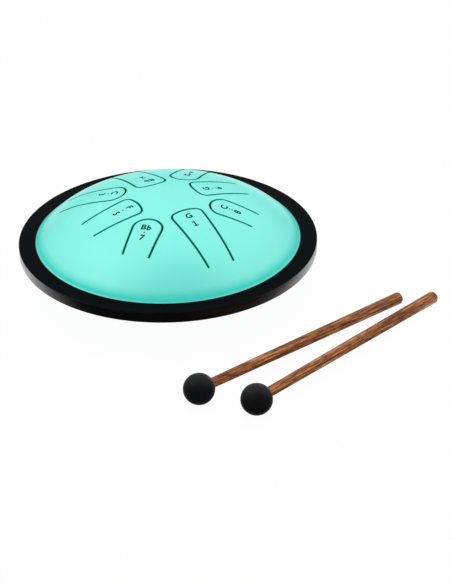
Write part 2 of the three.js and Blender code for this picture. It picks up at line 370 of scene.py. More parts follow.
# %% Give the lacquer its sheen
# Distances from the axis between which the sheen changes
TINT_ZONE = (74 * MM, 79.3 * MM)
DULL_START = (76.8 * MM, 78 * MM)
DULL_END = (78.3 * MM, 79 * MM)
WHITE_SHEEN = (255, 255, 255)
TURQUOISE_SHEEN = (180, 255, 252)
PEEL_DEPTH = 0.012 * MM


def add_relief(tree, source, depth):
    """A bump of the given depth in metres from a pattern."""
    levels = {"Strength": 1.0, "Distance": depth, "Height": source}
    return add_node(tree, "ShaderNodeBump", levels).outputs["Normal"]


across_foot = add_range(tree, from_axis, *TINT_ZONE, 0.0, 1.0)
foot_sheen = add_colours(tree, across_foot, (0.0, WHITE_SHEEN), (0.7, TURQUOISE_SHEEN),
                         (0.93, TURQUOISE_SHEEN), (1.0, WHITE_SHEEN))
# The painted shade of the groove also darkens the sheen's tint there
tree.links.new(mix_colours(tree, in_groove, foot_sheen, groove_painted_shade), shader.inputs["Specular Tint"])
satin = add_range(tree, add_noise(tree, place, 90, 3.0), 0.3, 0.7, 0.34, 0.42)
inner_side = add_range(tree, from_axis, *DULL_START, 0.0, 0.4)
outer_side = add_range(tree, from_axis, *DULL_END, 1.0, 0.0)
dulling = join_values(tree, "MULTIPLY", inner_side, outer_side)
tree.links.new(join_values(tree, "ADD", satin, dulling), shader.inputs["Roughness"])
peel = add_noise(tree, place, 850)
tree.links.new(add_relief(tree, peel, PEEL_DEPTH), shader.inputs["Normal"])
shader.inputs["IOR"].default_value = 2.1
shader.inputs["Coat Weight"].default_value = 0.25
shader.inputs["Coat Roughness"].default_value = 0.34
print("lacquer has", len(tree.nodes), "nodes")

# %% [markdown]
# A shell starts as a flat steel disc and is pressed into a low dome: a wide crown arc, a tighter
# shoulder arc and a straight skirt that leans at the edge angle. Because the form only rises and
# falls with the distance from the axis, it can be written as a height for each radius. That makes
# it possible to work in flat plan first, and to press the finished sheet afterwards.

# %% Describe the form of a pressed shell
SEAM_GAP = 0.3 * MM
SHEET = 1.2 * MM
RING_WIDTH = 10.1 * MM
RING_WALL = 2.6 * MM
RING_INNER = RING_RADIUS - RING_WIDTH
RING_LIP = (RING_HEIGHT - 2 * SHEET - 3 * SEAM_GAP) / 2
FLANGE_RADIUS = RING_RADIUS - RING_WALL - SEAM_GAP
FLANGE_DEPTH = RING_LIP + SEAM_GAP


class PressedForm:
    """Heights of a pressed shell's outer and inner face, counted from the ring's face."""

    def __init__(self, edge_angle, shoulder_radius, crown_radius):
        self.edge = math.radians(edge_angle)
        self.shoulder_radius = shoulder_radius
        self.crown_radius = crown_radius
        self.skirt = RING_INNER - SEAM_GAP / math.sin(self.edge)
        self.knee = self.skirt + FLANGE_DEPTH / math.tan(self.edge)
        centre_gap = crown_radius - shoulder_radius
        self.crown = math.asin((self.skirt - shoulder_radius * math.sin(self.edge)) / centre_gap)
        shoulder_rise = shoulder_radius * (math.cos(self.crown) - math.cos(self.edge))
        self.rise = shoulder_rise + crown_radius * (1 - math.cos(self.crown))
        self.shoulder_place = centre_gap * math.sin(self.crown)
        self.shoulder_level = self.rise - crown_radius + centre_gap * math.cos(self.crown)

    def height(self, radius, sunk=0.0):
        """Height at a distance from the axis, on the face that lies sunk below the outer one."""
        crown_radius = self.crown_radius - sunk
        shoulder_radius = self.shoulder_radius - sunk
        skirt = self.skirt - sunk * math.sin(self.edge)
        if radius < crown_radius * math.sin(self.crown):
            return self.rise - self.crown_radius + math.sqrt(crown_radius**2 - radius**2)
        if radius < skirt:
            reach = radius - self.shoulder_place
            return self.shoulder_level + math.sqrt(shoulder_radius**2 - reach**2)
        slope = (radius - skirt) * math.tan(self.edge) + sunk * math.cos(self.edge)
        return -min(slope, FLANGE_DEPTH + sunk)


dome_form = PressedForm(edge_angle=46.3, shoulder_radius=75 * MM, crown_radius=150 * MM)
dish_form = PressedForm(edge_angle=40, shoulder_radius=40 * MM, crown_radius=200 * MM)
print("dome rises", round(dome_form.rise / MM, 2), "mm, dish", round(dish_form.rise / MM, 2), "mm")

# %% [markdown]
# Where the dome meets the ring, the press leaves a small hollow curve: the steel turns out towards
# the flange before it dips under the rubber. It shows as a fine light line round the foot of the
# dome. A bevel can't make a hollow, so the curve is part of the formula for the height. It starts
# tangent to the shoulder and ends almost level.

# %% Add the hollow curve at the dome's foot
FOOT_CURVE = 1.6 * MM
FOOT_CURVE_LEAD = 0.45 * MM
FOOT_CURVE_START = dome_form.skirt - FOOT_CURVE_LEAD
FOOT_CURVE_END_SLOPE = math.radians(3)
foot_slope = math.asin((FOOT_CURVE_START - dome_form.shoulder_place) / dome_form.shoulder_radius)
foot_centre_radius = FOOT_CURVE_START + FOOT_CURVE * math.sin(foot_slope)
foot_centre_height = dome_form.height(FOOT_CURVE_START) + FOOT_CURVE * math.cos(foot_slope)
FOOT_CURVE_END = foot_centre_radius - FOOT_CURVE * math.sin(FOOT_CURVE_END_SLOPE)


def dome_outside(radius):
    """Height of the dome's outer face, with the hollow curve at its foot."""
    if radius <= FOOT_CURVE_START:
        return dome_form.height(radius)
    if radius <= FOOT_CURVE_END:
        return foot_centre_height - math.sqrt(FOOT_CURVE**2 - (radius - foot_centre_radius) ** 2)
    land = foot_centre_height - FOOT_CURVE * math.cos(FOOT_CURVE_END_SLOPE)
    share = (radius - FOOT_CURVE_END) / (dome_form.knee - FOOT_CURVE_END)
    return max(land - share * (land + FLANGE_DEPTH), -FLANGE_DEPTH)


def dome_inside(radius):
    """Height of the dome's inner face."""
    return dome_form.height(radius, SHEET)


print("foot curve ends at radius", round(FOOT_CURVE_END / MM, 2), "mm,",
      "height", round(dome_outside(FOOT_CURVE_END) / MM, 2), "mm")

# %% [markdown]
# The steel starts as a flat disc. A ready-made circle has no points between its middle and its edge,
# so a straight line of points is laid from the middle outwards, closer together where the foot curve
# will be, and spun round the axis. Two hundred and forty steps keep the outline round even in a close
# view.

# %% Cut the flat disc for the dome
DRUM_STEPS = 240
MERGE = 0.002 * MM
FOOT_DROP = 0.35 * MM


def lay_line(shape, tip, radius, cuts):
    """Lay a straight run of points on from a tip to a radius, with cuts between."""
    end = bmesh.ops.extrude_vert_indiv(shape, verts=[tip])["verts"][0]
    end.co = (radius, 0, 0)
    bmesh.ops.subdivide_edges(shape, edges=end.link_edges[:], cuts=cuts)
    return max(shape.verts, key=lambda vert: vert.co.x)


def spin_round(shape, steps):
    """Spin everything drawn in a shape once round the upright axis, and close the seam."""
    drawn = shape.verts[:] + shape.edges[:]
    bmesh.ops.spin(shape, geom=drawn, cent=(0, 0, 0), axis=(0, 0, 1), angle=2 * math.pi,
                   steps=steps, use_merge=True)
    bmesh.ops.remove_doubles(shape, verts=shape.verts[:], dist=MERGE)
    bmesh.ops.dissolve_degenerate(shape, edges=shape.edges[:], dist=MERGE)
    bmesh.ops.recalc_face_normals(shape, faces=shape.faces[:])


def flat_disc(inner_radius, runs):
    """A flat disc from an inner radius, by runs of an outer radius and the cuts on the way to it."""
    disc = bmesh.new()
    tip = disc.verts.new((inner_radius, 0, 0))
    for radius, cuts in runs:
        tip = lay_line(disc, tip, radius, cuts)
    spin_round(disc, DRUM_STEPS)
    return disc


dome_sheet = flat_disc(0, [(FOOT_CURVE_START, 51), (FOOT_CURVE_END, 7), (FOOT_CURVE_END + FOOT_DROP, 1),
                           (dome_form.knee, 1), (FLANGE_RADIUS, 1)])
print("flat disc with", len(dome_sheet.faces), "faces")

# %% [markdown]
# Each tongue is the steel inside a thin U-shaped slit. Its sides spread a little towards its tip
# near the middle of the drum, and its root, near the ring, stays part of the dome. Wide tongues with
# a square tip and narrow ones with a round tip take turns. From the first to the eighth they get
# shorter, because the length sets the note. Each could be traced by itself, but a table with a few
# measures for each tongue is shorter, and one function can then draw them all.

# %% Lay out the tongues
# Widths level with the tip and at the root, and the radii of the corner and of the bow, in mm
WIDE = {"tip": 20.4, "root": 16.2, "corner": 4.2, "bow": 25}
NARROW = {"tip": 18.3, "root": 15.7, "corner": 6.4, "bow": 9.6}
# Each tongue's kind, its heading in degrees, and in mm its tip's radius and its root's inset
TONGUES = {
    1: (WIDE, -60.3, 20.7, 14.9),
    2: (WIDE, 120.2, 16.7, 21.5),
    3: (NARROW, 165.3, 26.3, 13.8),
    4: (NARROW, 72.3, 24.5, 18.5),
    5: (WIDE, 209.6, 19.4, 27.1),
    6: (WIDE, 28.1, 17.9, 29),
    7: (NARROW, 253, 28, 23.1),
    8: (NARROW, -15.7, 27, 25.5),
}


def tongue_turn(number):
    """The turn from a tongue's own plan axes to its place round the drum."""
    heading = TONGUES[number][1]
    return Matrix.Rotation(math.radians(heading), 3, "Z")


def tongue_root(number):
    """Distance of a tongue's root from the drum's axis."""
    root_inset = TONGUES[number][3]
    return RING_INNER - root_inset * MM


lengths = [round(tongue_root(number) / MM - TONGUES[number][2], 1) for number in TONGUES]
print("tongues are", lengths, "mm long")

# %% [markdown]
# A tongue's outline is drawn in its own plan axes, along its length from the drum's axis outwards and
# across it. One arc bows across the tip, and a smaller arc at each corner touches both that bow and
# the straight side. The short stretches of the bow would hold a bevel back, so the middle of the
# corner's arc is worked out.

# %% Draw the tongues' outlines
SLIT_WIDTH = 1.25 * MM
ARC_STEPS = 7


def arc_points(centre, radius, start, end):
    """Points along an arc in plan."""
    angles = [start + (end - start) * step / ARC_STEPS for step in range(ARC_STEPS + 1)]
    return [centre + radius * Vector((math.cos(angle), math.sin(angle), 0)) for angle in angles]


def tongue_outline(number, spread):
    """Points along one side of a tongue, round its tip and back, grown outwards by spread."""
    kind, _, tip_radius, _ = TONGUES[number]
    root = tongue_root(number)
    root_half = kind["root"] * MM / 2
    corner = kind["corner"] * MM
    bow = kind["bow"] * MM
    slope = (kind["tip"] * MM / 2 - root_half) / (root - tip_radius * MM)
    lean = math.atan(slope)
    bow_centre = Vector((tip_radius * MM + bow, 0, 0))
    # The corner's centre lies one corner radius inside the side and inside the bow, which gives a
    # quadratic equation for its x with the terms a, b and c
    axis_level = root_half + slope * root - corner / math.cos(lean)
    a = 1 + slope**2
    b = bow_centre.x + slope * axis_level
    c = bow_centre.x**2 + axis_level**2 - (bow - corner) ** 2
    x = (b - math.sqrt(b**2 - a * c)) / a
    corner_centre = Vector((x, axis_level - slope * x, 0))
    meet = math.atan2(corner_centre.y, x - bow_centre.x)
    half = [Vector((root, root_half + spread, 0))]
    half += arc_points(corner_centre, corner + spread, math.pi / 2 - lean, meet)
    half += arc_points(bow_centre, bow + spread, meet, math.pi)[1:]
    return half + [Vector((point.x, -point.y, 0)) for point in reversed(half[:-1])]


widest = max(point.y for point in tongue_outline(1, 0.0))
print("tongue 1 is", round(2 * widest / MM, 1), "mm wide at most")

# %% [markdown]
# A laser cuts the slits in the flat sheet. A boolean could cut them too, but it would rebuild the
# whole disc. The bisect tool cuts along one straight stretch at a time, and only through the faces
# that the stretch crosses, so the rest of the disc keeps its even grid.

# %% Cut along a straight stretch
NO_WIDTH = 0.0005 * MM
LARGEST_FACE = 2 * MM


def crosses(face, start, along, across, length):
    """Whether a straight stretch runs through a face."""
    spots = [(v.co - start) for v in face.verts]
    spots = [(spot.dot(along), spot.dot(across)) for spot in spots]
    sides = [side for _, side in spots]
    if min(sides) > -NO_WIDTH or max(sides) < NO_WIDTH:
        return False
    marks = []
    for (t0, s0), (t1, s1) in zip(spots, spots[1:] + spots[:1]):
        if s0 * s1 <= 0 and s0 != s1:
            marks.append(t0 + (t1 - t0) * s0 / (s0 - s1))
    return max(marks) > NO_WIDTH and min(marks) < length - NO_WIDTH


def cut_stretch(sheet, faces, start, end):
    """Cut the faces that lie on a straight stretch, and return all the faces that are left."""
    length = (end - start).length
    along = (end - start).normalized()
    across = Vector((-along.y, along.x, 0))
    middle = (start + end) / 2
    reach = length / 2 + LARGEST_FACE
    near = [face for face in faces if (face.calc_center_median() - middle).length < reach]
    hit = [face for face in near if crosses(face, start, along, across, length)]
    if not hit:
        return faces
    edges = {edge for face in hit for edge in face.edges}
    verts = {vert for face in hit for vert in face.verts}
    made = bmesh.ops.bisect_plane(sheet, geom=[*verts, *edges, *hit], dist=NO_WIDTH,
                                  plane_co=start, plane_no=across)
    cut = {item for item in made["geom"] if isinstance(item, bmesh.types.BMFace)}
    return list(set(faces) | cut)


print("each edge of slit 1 has", len(tongue_outline(1, SLIT_WIDTH / 2)) - 1, "straight stretches")

# %% [markdown]
# Both edges of a slit are now cut into the sheet. What lies between them drops out, and what lies
# inside becomes the tongue. A hair's breadth on both sides of the slit is cut off as a band of its
# own and gets the painted slit shade, which widens the dark line of the slit.

# %% Cut the slits
EDGE_BAND = 0.11 * MM
NEAR_SLIT = 4 * MM


def lies_inside(outline, face):
    """Whether a face's middle lies inside a closed outline in plan."""
    spot = face.calc_center_median()
    inside = False
    for a, b in zip(outline, outline[1:] + outline[:1]):
        if (a.y > spot.y) != (b.y > spot.y):
            if spot.x < a.x + (b.x - a.x) * (spot.y - a.y) / (b.y - a.y):
                inside = not inside
    return inside


def cut_tongue(sheet, number):
    """Cut one tongue free along its slit, and return it as a flat sheet of its own."""
    turn = tongue_turn(number)
    half_slit = SLIT_WIDTH / 2
    spreads = (half_slit + EDGE_BAND, half_slit, -half_slit, -half_slit - EDGE_BAND)
    outlines = [[turn @ point for point in tongue_outline(number, spread)] for spread in spreads]
    outer, opening, blade, inner = outlines
    middle = sum(opening, Vector()) / len(opening)
    reach = max((point - middle).length for point in opening) + NEAR_SLIT
    faces = [f for f in sheet.faces if (f.calc_center_median() - middle).length < reach]
    stretches = [stretch for outline in outlines for stretch in zip(outline, outline[1:])]
    for start, end in [*stretches, (outer[0], outer[-1])]:
        faces = cut_stretch(sheet, faces, start, end)
    near_slit = [face for face in faces if lies_inside(outer, face)]
    # The band beside the slit takes the second finish, the painted slit shade
    for face in near_slit:
        face.material_index = 0 if lies_inside(inner, face) else 1
    inside = [face for face in near_slit if lies_inside(opening, face)]
    tongue_faces = [face for face in inside if lies_inside(blade, face)]
    sheet.faces.index_update()
    kept = {face.index for face in tongue_faces}
    tongue = sheet.copy()
    spare = [face for face in tongue.faces if face.index not in kept]
    bmesh.ops.delete(tongue, geom=spare, context="FACES")
    bmesh.ops.delete(sheet, geom=inside, context="FACES")
    tip = min(point.length for point in opening)
    print("tongue", number, "has", len(tongue.faces), "faces, slit starts at", round(tip / MM, 1), "mm")
    return tongue


tongue_sheets = {number: cut_tongue(dome_sheet, number) for number in TONGUES}

# %% [markdown]
# The press turns a flat sheet into a shell. Extruding the whole sheet makes a second layer joined
# to the first by walls, also along the slits. The new layer is raised to the outer face of the form
# and the old one to the inner face, which gives steel of real thickness in one step.

# %% Press the dome
SHARP_ANGLE = math.radians(32)


def press(sheet, outside, inside, wall_finish=0):
    """Give a flat sheet its thickness and raise both layers to their heights."""
    lower = set(sheet.verts)
    made = bmesh.ops.extrude_face_region(sheet, geom=sheet.faces[:])
    upper = {item for item in made["geom"] if isinstance(item, bmesh.types.BMVert)}
    for vert in lower:
        vert.co.z = inside(vert.co.to_2d().length)
    for vert in upper:
        vert.co.z = outside(vert.co.to_2d().length)
    for face in sheet.faces:
        if not lower.isdisjoint(face.verts) and not upper.isdisjoint(face.verts):
            face.material_index = wall_finish
    bmesh.ops.recalc_face_normals(sheet, faces=sheet.faces[:])


def into_piece(shape, name, finishes):
    """Turn a shape into an object with smooth faces, sharp edges and its finishes."""
    open_edges = sum(not edge.is_manifold for edge in shape.edges)
    mesh = bpy.data.meshes.new(name)
    shape.to_mesh(mesh)
    shape.free()
    mesh.shade_smooth()
    mesh.set_sharp_from_angle(angle=SHARP_ANGLE)
    for finish in finishes:
        mesh.materials.append(finish)
    piece = bpy.data.objects.new(name, mesh)
    bpy.context.collection.objects.link(piece)
    print(name, "has", len(mesh.polygons), "faces and", open_edges, "open edges")
    return piece


# The walls along the slits take the second finish, the painted slit shade
press(dome_sheet, dome_outside, dome_inside, wall_finish=1)
shift(dome_sheet, DRUM_MIDDLE)
dome = into_piece(dome_sheet, "dome", [lacquer, painted_slit_shade])
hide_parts("top_shell")
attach(dome, "drum")

# %% [markdown]
# A struck tongue bends near its root and its tip swings up and down. A stiff tongue on a hinge would
# open a crack at its root. Each tongue is pressed here as a piece of its own, cut from the dome's
# sheet. Root and dome share the same points, so no line shows between them.

# %% Press the tongues
for number, sheet in tongue_sheets.items():
    # The walls along the slits take the second finish, the painted slit shade
    press(sheet, dome_outside, dome_inside, wall_finish=1)
    shift(sheet, DRUM_MIDDLE)
    tongue = into_piece(sheet, f"tongue_blade_{number}", [lacquer, painted_slit_shade])
    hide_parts(f"tongue_{number}")
    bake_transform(tongue)

# %% [markdown]
# Each tongue carries its note letter and its number in plain black print. A texture could show
# them, but a mesh stays sharp in a close view. Text objects give the letters, which are turned into
# flat meshes. Their heavy outline would cross itself on curves with many steps, so the curves get
# few steps, and those of the letter B fewer still.

# %% Set the type
CAPITAL_HEIGHT = 4.2 * MM
LETTER_WEIGHT = 0.032
LETTER_SPACING = 1.12
CURVE_STEPS = 4
FEWER_CURVE_STEPS = {"Bb": 2}
TYPE_MERGE = 1e-5


def type_letters(text):
    """Flat letters as a mesh in plan, centred, and their height."""
    type_block = bpy.data.curves.new("note_type", "FONT")
    type_block.body = text
    type_block.offset = LETTER_WEIGHT
    type_block.space_character = LETTER_SPACING
    type_block.resolution_u = FEWER_CURVE_STEPS.get(text, CURVE_STEPS)
    holder = bpy.data.objects.new("note_type", type_block)
    bpy.context.collection.objects.link(holder)
    bpy.context.view_layer.update()
    shown = holder.evaluated_get(bpy.context.evaluated_depsgraph_get())
    mesh = bpy.data.meshes.new_from_object(shown)
    bpy.data.objects.remove(holder)
    letters = bmesh.new()
    letters.from_mesh(mesh)
    bpy.data.meshes.remove(mesh)
    bmesh.ops.remove_doubles(letters, verts=letters.verts[:], dist=TYPE_MERGE)
    wide = [vert.co.x for vert in letters.verts]
    tall = [vert.co.y for vert in letters.verts]
    shift(letters, (-(min(wide) + max(wide)) / 2, -(min(tall) + max(tall)) / 2, 0))
    return letters, max(tall) - min(tall)


capital, capital_height = type_letters("B")
capital.free()
type_scale = CAPITAL_HEIGHT / capital_height
print("letters are scaled by", round(type_scale, 5))

# %% [markdown]
# A mark is laid out as on a page, with the letter at the middle, the number one step below, and
# small dots between them that tell the octave. The figure one has a flag and a foot, which the
# built-in typeface lacks, so it is drawn as one face from its corners.

# %% Lay out the marks
DOT_RADIUS = 0.5 * MM
DOT_PITCH = 3 * DOT_RADIUS
DOT_STEPS = 20
NOTES = {1: "G", 2: "Bb", 3: "C", 4: "D", 5: "F", 6: "G", 7: "Bb", 8: "C"}
OCTAVE_DOTS = {1: 0, 2: 0, 3: 1, 4: 1, 5: 1, 6: 1, 7: 1, 8: 2}
# Distance from the letter down to the number on each tongue, in mm
NUMBER_STEP = {1: 7.6, 2: 8.4, 3: 8.3, 4: 8.2, 5: 8.8, 6: 8.3, 7: 8.2, 8: 8.2}
# Corners of the figure one, in heights of a capital
FIGURE_ONE = [(-0.3, -0.5), (0.36, -0.5), (0.36, -0.34), (0.14, -0.34), (0.14, 0.5), (-0.05, 0.5),
              (-0.32, 0.4), (-0.32, 0.23), (-0.07, 0.31), (-0.07, -0.34), (-0.3, -0.34)]


def draw_figure_one():
    """The figure one as a flat face, as high as the capitals."""
    figure = bmesh.new()
    corners = [Vector((x, y, 0)) * capital_height for x, y in FIGURE_ONE]
    figure.faces.new([figure.verts.new(corner) for corner in corners])
    return figure


def join_into(target, source):
    """Copy all of one shape into another."""
    carrier = bpy.data.meshes.new("carrier")
    source.to_mesh(carrier)
    source.free()
    target.from_mesh(carrier)
    bpy.data.meshes.remove(carrier)


def lay_out_mark(number):
    """One tongue's letter, dots and number on a flat page."""
    page = bmesh.new()
    number_step = NUMBER_STEP[number] * MM
    for text, step in ((NOTES[number], 0), (str(number), number_step)):
        letters = draw_figure_one() if text == "1" else type_letters(text)[0]
        bmesh.ops.scale(letters, verts=letters.verts[:], vec=(type_scale, type_scale, 1))
        shift(letters, (0, -step, 0))
        join_into(page, letters)
    dots = OCTAVE_DOTS[number]
    for dot in range(dots):
        level = number_step / 2 + (dot - (dots - 1) / 2) * DOT_PITCH
        bmesh.ops.create_circle(page, cap_ends=True, segments=DOT_STEPS, radius=DOT_RADIUS,
                                matrix=Matrix.Translation((0, -level, 0)))
    return page


mark_pages = {number: lay_out_mark(number) for number in sorted(NOTES)}
print("marks have", [len(page.faces) for page in mark_pages.values()], "faces while flat")

# %% [markdown]
# The ink is nearly black, with a breath of the lacquer's green, and almost without gloss. Each page
# is turned so that its top points to the middle of the drum, and the mark is upright when it is read
# from the ring. Then it is pressed onto the dome in the same way as the steel, a few hundredths of a
# millimetre thick, and rides on its tongue.

# %% Print the marks on the tongues
PRINT_THICKNESS = 0.04 * MM
# Place of the letter on each tongue, along it from the drum's axis and across it, in mm
LETTER_RADIUS = {1: 26.7, 2: 25.2, 3: 33.3, 4: 36.4, 5: 25.1, 6: 25.9, 7: 35.3, 8: 35.2}
LETTER_SHIFT = {1: 0.1, 2: -1.2, 3: -1.2, 4: -0.3, 5: 0.1, 6: -1.1, 7: -0.6, 8: 0.3}

ink, tree, shader, place = new_finish("black_print")
ink_wear = add_noise(tree, place, 1500, 3.0)
ink_tone = add_colours(tree, ink_wear, (0.3, (0, 20, 18)), (0.75, (2, 32, 29)))
tree.links.new(ink_tone, shader.inputs["Base Color"])
tree.links.new(add_range(tree, ink_wear, 0.3, 0.7, 0.6, 0.75), shader.inputs["Roughness"])
shader.inputs["Specular IOR Level"].default_value = 0.05


def turn_shape(shape, turn):
    """Turn a whole shape about the origin."""
    bmesh.ops.rotate(shape, verts=shape.verts[:], cent=(0, 0, 0), matrix=turn)


for number, page in mark_pages.items():
    turn_shape(page, Matrix.Rotation(math.pi / 2, 3, "Z"))
    spot = Vector((LETTER_RADIUS[number], LETTER_SHIFT[number], 0)) * MM
    shift(page, spot)
    turn_shape(page, tongue_turn(number))
    press(page, lambda r: dome_outside(r) + PRINT_THICKNESS, lambda r: dome_outside(r) - PRINT_THICKNESS)
    shift(page, DRUM_MIDDLE)
    mark = into_piece(page, f"note_mark_{number}", [ink])
    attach(mark, f"tongue_{number}")

# %% [markdown]
# The lower shell is a shallow dish, pressed from the same sheet, with a round sound port in its
# middle. It is made as the dome was, from a flat ring of steel, then turned upside down. The edges of
# the port are broken with a small bevel, as a punched edge is. Its lacquer is a copy of the dome's
# with less sheen, since the underside gets one thin coat.

# %% Press the dish
PORT_RADIUS = 18 * MM
PORT_ROUNDING = 0.35 * MM
NEAR = 10 * MERGE
thin_lacquer = lacquer.copy()
thin_lacquer.name = "thin_lacquer"
thin_sheen = thin_lacquer.node_tree.nodes["Principled BSDF"].inputs
thin_sheen["IOR"].default_value = 1.45
thin_sheen["Coat Weight"].default_value = 0.0


def round_edges(shape, radius, level, rounding, segments=4):
    """Bevel the edges that run round the axis at a radius, and at a level where one is given."""
    found = []
    for edge in shape.edges:
        near = [abs(vert.co.to_2d().length - radius) < NEAR for vert in edge.verts]
        flat = abs(edge.verts[0].co.z - edge.verts[1].co.z) < MERGE
        at_level = level is None or abs(edge.verts[0].co.z - level) < NEAR
        if all(near) and flat and at_level:
            found.append(edge)
    bmesh.ops.bevel(shape, geom=found, offset=rounding, segments=segments, profile=0.5,
                    affect="EDGES", material=-1, clamp_overlap=True)


dish_sheet = flat_disc(PORT_RADIUS, [(dish_form.skirt, 40), (dish_form.knee, 1), (FLANGE_RADIUS, 1)])
press(dish_sheet, dish_form.height, lambda radius: dish_form.height(radius, SHEET))
round_edges(dish_sheet, PORT_RADIUS, None, PORT_ROUNDING, 3)
turn_shape(dish_sheet, Matrix.Rotation(math.pi, 3, "X"))
ring_underside = DRUM_MIDDLE - Vector((0, 0, RING_HEIGHT))
shift(dish_sheet, ring_underside)
dish = into_piece(dish_sheet, "dish", [thin_lacquer])
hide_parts("bottom_shell")
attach(dish, "drum")

# %% [markdown]
# The ring is moulded rubber and nearly black. Its flat faces are matt, with a very fine tooth that
# swallows light. Its outer wall is smoother and shines where it is seen at a shallow angle. One
# function makes both: a fine noise gives the tooth as a bump, a wider one keeps the gloss uneven.

# %% Mix the ring's rubber
GLOSS_DRIFT = 0.05


def rubber_finish(name, dark, light, roughness, tooth, gloss):
    """A black rubber with a fine tooth, between two close tones."""
    finish, tree, shader, place = new_finish(name)
    cloud = add_noise(tree, place, 160, 4.0)
    tone = add_colours(tree, cloud, (0.3, dark), (0.75, light))
    tree.links.new(tone, shader.inputs["Base Color"])
    uneven = add_range(tree, cloud, 0.3, 0.7, roughness - GLOSS_DRIFT, roughness + GLOSS_DRIFT)
    tree.links.new(uneven, shader.inputs["Roughness"])
    grain = add_noise(tree, place, 2600, 3.0)
    tree.links.new(add_relief(tree, grain, tooth), shader.inputs["Normal"])
    shader.inputs["Specular IOR Level"].default_value = gloss
    return finish


ring_face = rubber_finish("ring_face_rubber", dark=(4, 9, 11), light=(9, 14, 16),
                          roughness=0.6, tooth=0.006 * MM, gloss=0.02)
ring_wall = rubber_finish("ring_wall_rubber", dark=(3, 5, 7), light=(6, 8, 10),
                          roughness=0.33, tooth=0.003 * MM, gloss=0.75)
print("ring finishes made:", ring_face.name, ring_wall.name)

# %% [markdown]
# The ring is a U-shaped channel, pushed over both flanges. Its two lips lean like the steel that
# they rest on. The edge of the upper lip stands up a little from the flat face, so a fine dark
# groove is left between it and the dome. The channel could be cut from a solid ring with a boolean.
# A section drawn with nine corners gives the same shape and leaves cleaner edges to round.

# %% Draw the ring's section
LIP_INSET = 0.4 * MM
LIP_RISE = 0.4 * MM
LIP_RAMP = 0.9 * MM
slot_radius = RING_RADIUS - RING_WALL
upper_lip = RING_INNER + RING_LIP / math.tan(dome_form.edge)
lower_lip = RING_INNER + RING_LIP / math.tan(dish_form.edge)
lip_edge = RING_INNER + LIP_INSET
ring_section = [
    (lip_edge, LIP_RISE),
    (lip_edge + LIP_RAMP, 0),
    (RING_RADIUS, 0),
    (RING_RADIUS, -RING_HEIGHT),
    (RING_INNER, -RING_HEIGHT),
    (lower_lip, RING_LIP - RING_HEIGHT),
    (slot_radius, RING_LIP - RING_HEIGHT),
    (slot_radius, -RING_LIP),
    (upper_lip, -RING_LIP),
]


def draw_section(corners, closed=False):
    """A section of radius and height, as a run of edges or a closed loop."""
    shape = bmesh.new()
    verts = [shape.verts.new((radius, 0, level)) for radius, level in corners]
    ends = verts[1:] + verts[:1] if closed else verts[1:]
    for start, end in zip(verts, ends):
        shape.edges.new((start, end))
    return shape


ring_shape = draw_section(ring_section, closed=True)
print("ring section has", len(ring_shape.edges), "edges, upper lip from", round(upper_lip / MM, 2), "mm")

# %% [markdown]
# The section is spun round the drum's axis, and the edges that show are rounded with a bevel, because
# moulded rubber has no sharp edges. The faces of the outer wall get the smoother rubber and all others
# the matt one. Their distance from the axis and their slope tell them apart.

# %% Mould the ring
RING_EDGE_ROUNDING = 0.4 * MM
LIP_ROUNDING = 0.15 * MM
# A face belongs to the wall where its normal rises by less than this
STEEPEST_NORMAL = 0.7
spin_round(ring_shape, DRUM_STEPS)
for level in (0, -RING_HEIGHT):
    round_edges(ring_shape, RING_RADIUS, level, RING_EDGE_ROUNDING)
for radius, level in ((lip_edge, LIP_RISE), (RING_INNER, -RING_HEIGHT)):
    round_edges(ring_shape, radius, level, LIP_ROUNDING, 3)
for face in ring_shape.faces:
    outer = face.calc_center_median().to_2d().length > RING_RADIUS - RING_EDGE_ROUNDING
    face.material_index = 1 if outer and abs(face.normal.z) < STEEPEST_NORMAL else 0
shift(ring_shape, DRUM_MIDDLE)
edge_ring = into_piece(ring_shape, "edge_ring", [ring_face, ring_wall])
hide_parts("rim_ring")
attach(edge_ring, "drum")

# %% [markdown]
# Four rubber feet keep the dish off the table. Each is a short tapered stud with a rounded lower
# edge. A boolean could cut its top to the dish. It is simpler to make the stud too high and then to
# set every point of its top to the height where it just meets the curve of the dish.

# %% Mould the feet
FOOT_CIRCLE = 38 * MM
FOOT_TOP_RADIUS = 8 * MM
FOOT_BASE_RADIUS = 6.5 * MM
FOOT_ROUNDING = 0.9 * MM
FOOT_STEPS = 48
FOOT_TOP_CUTS = 6
FOOT_CLEARANCE = 0.05 * MM
BLANK_HEIGHT = 10 * MM
BLANK_TOP = 9 * MM
foot_rubber = rubber_finish("foot_rubber", dark=(9, 10, 11), light=(17, 18, 19),
                            roughness=0.68, tooth=0.01 * MM, gloss=0.1)
dish_face = DRUM_MIDDLE.z - RING_HEIGHT - FOOT_CLEARANCE

for number in range(1, 5):
    foot_shape = draw_section([(0, 0), (FOOT_BASE_RADIUS, 0), (FOOT_TOP_RADIUS, BLANK_HEIGHT),
                               (0, BLANK_HEIGHT)])
    top_run = [edge for edge in foot_shape.edges if min(vert.co.z for vert in edge.verts) > BLANK_TOP]
    bmesh.ops.subdivide_edges(foot_shape, edges=top_run, cuts=FOOT_TOP_CUTS)
    spin_round(foot_shape, FOOT_STEPS)
    round_edges(foot_shape, FOOT_BASE_RADIUS, 0, FOOT_ROUNDING)
    angle = (number - 0.5) * math.pi / 2
    spot = Vector((math.cos(angle), math.sin(angle), 0)) * FOOT_CIRCLE
    shift(foot_shape, spot)
    for vert in foot_shape.verts:
        if vert.co.z > BLANK_TOP:
            vert.co.z = dish_face - dish_form.height(vert.co.to_2d().length)
    shift(foot_shape, (DRUM_MIDDLE.x, DRUM_MIDDLE.y, 0))
    foot = into_piece(foot_shape, f"rubber_foot_{number}", [foot_rubber])
    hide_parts(f"foot_{number}")
    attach(foot, "drum")

